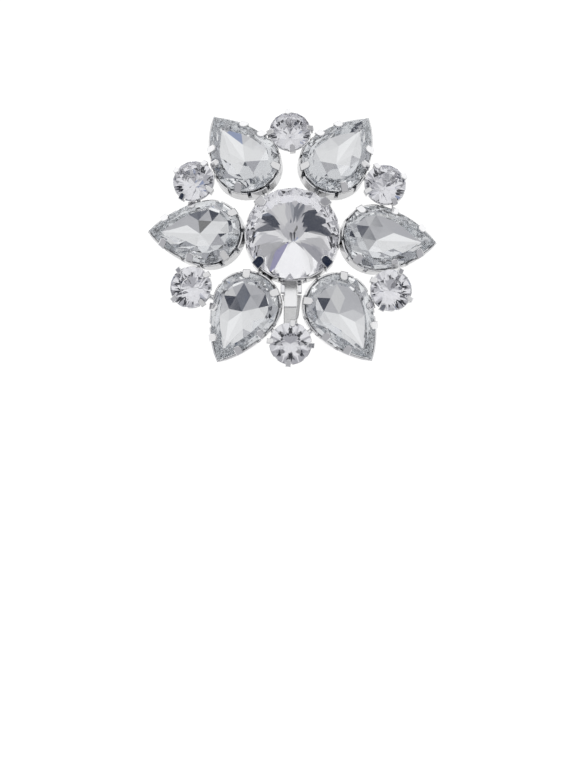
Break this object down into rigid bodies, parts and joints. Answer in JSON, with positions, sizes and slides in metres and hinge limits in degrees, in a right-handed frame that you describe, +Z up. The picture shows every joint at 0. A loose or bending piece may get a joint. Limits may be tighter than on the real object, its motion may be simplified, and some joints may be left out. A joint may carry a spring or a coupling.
{
  "type": "rhinestone shoe buckle",
  "caption": "Flower-shaped shoe clip of claw-set clear stones: a round centre, a ring of pear stones with their tips out, small round stones between them, and a bent spring clip behind.",
  "frame": {"origin": "on the surface that the buckle lies on, below the middle of the centre stone, which is also the middle of the footprint to about 0.2 mm", "axes": "+Z points up out of the stones' tables, +Y towards the top of the buckle as worn, +X to the right seen from the front; the clip's mouth opens towards -Y"},
  "size_m": [0.0554, 0.0507, 0.0125],
  "materials": {
    "silver_plate": "bright silver-tone plating over pressed brass",
    "spring_strip": "bright silver-tone plating over a spring strip",
    "cut_glass": "clear cut glass with a mirror foil on the pavilion"
  },
  "bodies": {
    "root": {"claw_frame": "silver_plate", "clip": "spring_strip", "centre_stone": "cut_glass", "pear_stone_1": "cut_glass", "pear_stone_2": "cut_glass", "pear_stone_3": "cut_glass", "pear_stone_4": "cut_glass", "pear_stone_5": "cut_glass", "pear_stone_6": "cut_glass", "round_stone_1": "cut_glass", "round_stone_2": "cut_glass", "round_stone_3": "cut_glass", "round_stone_4": "cut_glass", "round_stone_5": "cut_glass", "round_stone_6": "cut_glass"}
  },
  "joints": []
}
